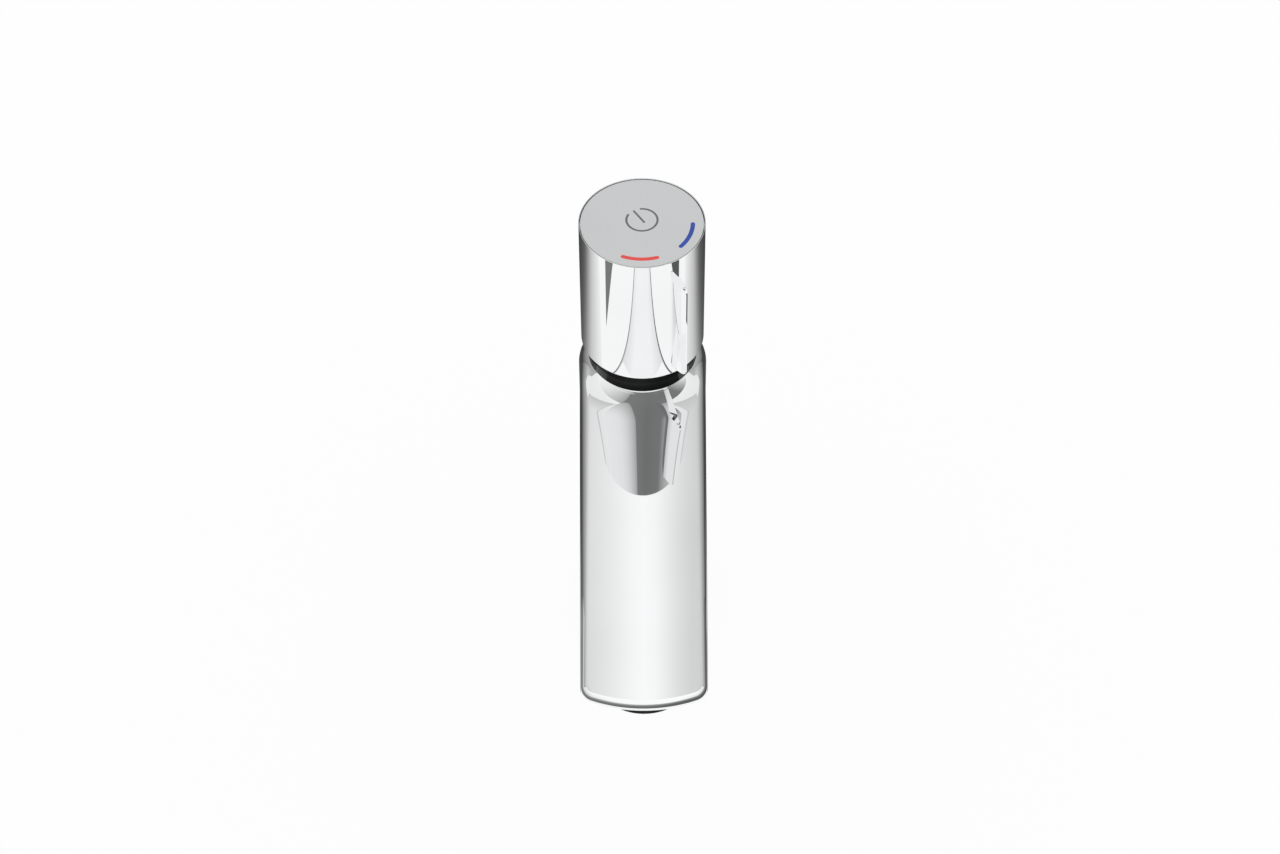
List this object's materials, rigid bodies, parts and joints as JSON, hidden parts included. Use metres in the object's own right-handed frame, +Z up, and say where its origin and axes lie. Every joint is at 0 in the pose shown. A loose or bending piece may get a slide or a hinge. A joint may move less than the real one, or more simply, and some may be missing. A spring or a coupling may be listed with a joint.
{
  "type": "basin mixer tap",
  "caption": "Chrome deck-mounted basin mixer with a broad downward spout, an upright cylindrical temperature knob with a side fin, and a push button on its top for on and off.",
  "frame": {"origin": "on the deck surface under the axis of the upright body, at the middle of the body's foot", "axes": "+Z up along the body and knob axis, the spout points along -Y, +X is to the right for someone who stands in front of the basin"},
  "size_m": [0.05, 0.1561, 0.2336],
  "materials": {
    "chrome_brass": "mirror-bright chrome plating on brass",
    "gloss_black": "polished black",
    "satin_black": "satin black",
    "dark_plastic": "moulded, satin",
    "white_plastic": "moulded, satin",
    "red_plastic": "moulded, satin",
    "brass": "machined",
    "ceramic": "lapped",
    "rubber": "matt",
    "steel": "bright, machined",
    "grey_plastic": "moulded, satin",
    "satin_cap": "fine satin silver",
    "mark_grey": "flush inlay",
    "mark_red": "flush inlay",
    "mark_blue": "flush inlay"
  },
  "bodies": {
    "tap_body": {"spout_body": "chrome_brass", "inlet_block": "brass", "block_seal": "rubber", "retaining_ring": "steel", "neck_ring": "gloss_black", "clamp_nut": "brass", "limit_ring": "white_plastic", "cartridge_housing": "dark_plastic", "cartridge_base": "white_plastic", "base_plug": "white_plastic", "fixed_disc": "ceramic", "hot_port_seal": "rubber", "cold_port_seal": "rubber", "chamber_seal": "rubber", "valve_spring": "steel", "hot_inlet_filter": "grey_plastic", "cold_inlet_filter": "grey_plastic", "aerator_housing": "satin_black", "aerator_strainer": "grey_plastic", "aerator_seal": "rubber", "base_gasket": "rubber", "fixing_stud": "steel", "under_gasket": "rubber", "clamp_plate": "steel", "fixing_nut": "brass"},
    "knob": {"handle_shell": "chrome_brass", "temperature_fin": "chrome_brass", "handle_adapter": "dark_plastic", "grub_screw": "steel", "spindle": "brass", "spindle_seal": "rubber", "rod_seal": "rubber", "moving_disc": "ceramic", "ratchet_sleeve": "white_plastic", "button_spring": "steel"},
    "button": {"button_cap": "satin_cap", "power_ring": "mark_grey", "power_bar": "mark_grey", "red_mark": "mark_red", "blue_mark": "mark_blue", "button_stem": "white_plastic"},
    "piston": {"shutoff_piston": "brass", "piston_seal": "rubber"},
    "rotor": {"ratchet_rotor": "red_plastic"}
  },
  "joints": [
    {"name": "temperature_turn", "type": "hinge", "parent": "tap_body", "child": "knob", "pos_m": [0, 0, 0.157], "axis": [0, 0, 1], "range_deg": [-83, 17]},
    {"name": "button_press", "type": "slide", "parent": "knob", "child": "button", "axis": [0, 0, -1], "range_m": [0, 0.003], "stiffness_N_per_m": 1500, "springref_m": -0.003, "deforming": ["button_spring"]},
    {"name": "valve_lift", "type": "slide", "parent": "knob", "child": "piston", "axis": [0, 0, -1], "range_m": [0, 0.0025], "stiffness_N_per_m": 600, "springref_m": -0.002, "deforming": ["valve_spring"]},
    {"name": "ratchet_turn", "type": "hinge", "parent": "piston", "child": "rotor", "pos_m": [0, 0, 0.13], "axis": [0, 0, 1], "range_deg": [0, 22.5]}
  ],
  "couplings": [
    {"joint": "valve_lift", "follows": "button_press", "ratio": 0.83333},
    {"joint": "ratchet_turn", "follows": "button_press", "rad_per_m": 130.84}
  ]
}
